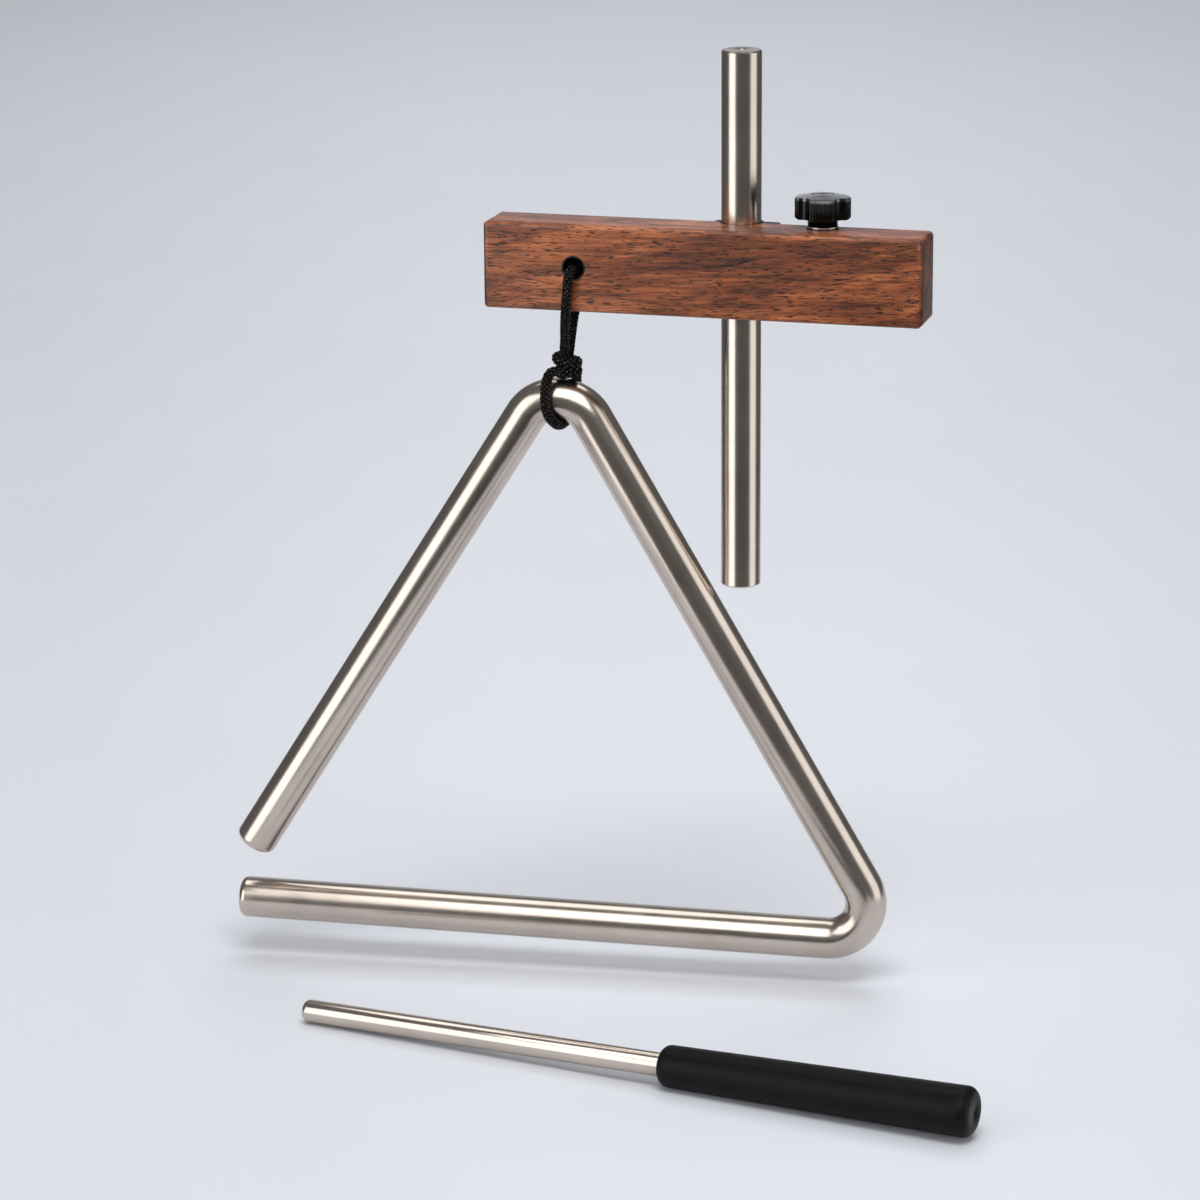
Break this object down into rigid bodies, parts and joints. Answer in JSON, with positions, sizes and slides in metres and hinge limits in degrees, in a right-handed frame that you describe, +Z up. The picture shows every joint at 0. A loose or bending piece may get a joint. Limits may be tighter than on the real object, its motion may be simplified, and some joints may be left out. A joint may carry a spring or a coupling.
{
  "type": "triangle instrument",
  "caption": "Steel triangle hung by a knotted black cord from a wooden block that a lobed knob clamps on an upright steel post, with a steel beater in a rubber grip lying in front.",
  "frame": {"origin": "centre of the post's lower end face", "axes": "+Z up along the post, +X towards the knob's end of the block, -Y to the front, where the beater lies"},
  "size_m": [0.2548, 0.1328, 0.2874],
  "materials": {
    "post_steel": "satin drawn steel",
    "black_liner": "matte",
    "block_wood": "oiled reddish brown wood",
    "black_plate": "fine moulded grain",
    "screw_steel": "dark steel",
    "washer_steel": "bright",
    "knob_plastic": "semi-gloss moulded",
    "insert_brass": "turned",
    "cap_plastic": "glossy",
    "nut_steel": "machined",
    "shoe_plastic": "matte",
    "cord_braid": "braided cord",
    "triangle_steel": "satin nickel over steel",
    "beater_steel": "satin",
    "grip_rubber": "fine matte grain"
  },
  "bodies": {
    "post": {"post": "post_steel"},
    "sleeve": {"post_sleeve": "black_liner"},
    "block": {"wood_block": "block_wood", "cord_bush": "black_liner", "post_saddle": "black_plate", "saddle_screws": "screw_steel", "knob_washer": "washer_steel"},
    "knob": {"knob": "knob_plastic", "knob_insert": "insert_brass", "knob_cap": "cap_plastic", "clamp_stud": "washer_steel", "stud_clip": "screw_steel"},
    "nut": {"wedge_nut": "nut_steel"},
    "shoe": {"clamp_shoe": "shoe_plastic"},
    "strands": {"cord_strands": "cord_braid"},
    "knot": {"cord_knot": "cord_braid"},
    "loop": {"cord_loop": "cord_braid"},
    "triangle": {"triangle": "triangle_steel"},
    "beater": {"beater_rod": "beater_steel", "beater_grip": "grip_rubber"}
  },
  "joints": [
    {"name": "post_swivel", "type": "hinge", "parent": "block", "child": "sleeve", "pos_m": [0, 0, 0.098], "axis": [0, 0, 1], "continuous": true},
    {"name": "post_height", "type": "slide", "parent": "sleeve", "child": "post", "axis": [0, 0, 1], "range_m": [-0.003, 0.08]},
    {"name": "knob_turn", "type": "hinge", "parent": "block", "child": "knob", "pos_m": [0.0258, -0.0048, 0.116], "axis": [0, 0, 1], "range_deg": [0, 720]},
    {"name": "nut_travel", "type": "slide", "parent": "block", "child": "nut", "axis": [0, 0, 1], "range_m": [-0.0016, 0]},
    {"name": "shoe_travel", "type": "slide", "parent": "block", "child": "shoe", "axis": [1, 0, 0], "range_m": [0, 0.00043]},
    {"name": "cord_sway", "type": "hinge", "parent": "block", "child": "strands", "pos_m": [-0.0483, -0.00855, 0.096], "axis": [0, 1, 0], "range_deg": [0, 6]},
    {"name": "cord_twist", "type": "hinge", "parent": "strands", "child": "knot", "pos_m": [-0.0518, -0.0085, 0.071], "axis": [0, 0, 1], "range_deg": [-25, 25], "stiffness_Nm_per_rad": 0.004},
    {"name": "cord_swing", "type": "hinge", "parent": "knot", "child": "loop", "pos_m": [-0.0538, -0.00855, 0.065], "axis": [1, 0, 0], "range_deg": [-12, 12]},
    {"name": "triangle_rock", "type": "hinge", "parent": "loop", "child": "triangle", "pos_m": [-0.0546, -0.00855, 0.0444], "axis": [0.0958, -0.9954, 0], "range_deg": [-5, 1.2]},
    {"name": "beater_lift", "type": "slide", "parent": "block", "child": "beater", "axis": [0, 0, 1], "range_m": [0, 0.15]}
  ],
  "couplings": [
    {"joint": "knob_turn", "follows": "nut_travel", "rad_per_m": -7854},
    {"joint": "shoe_travel", "follows": "nut_travel", "ratio": -0.26795}
  ]
}
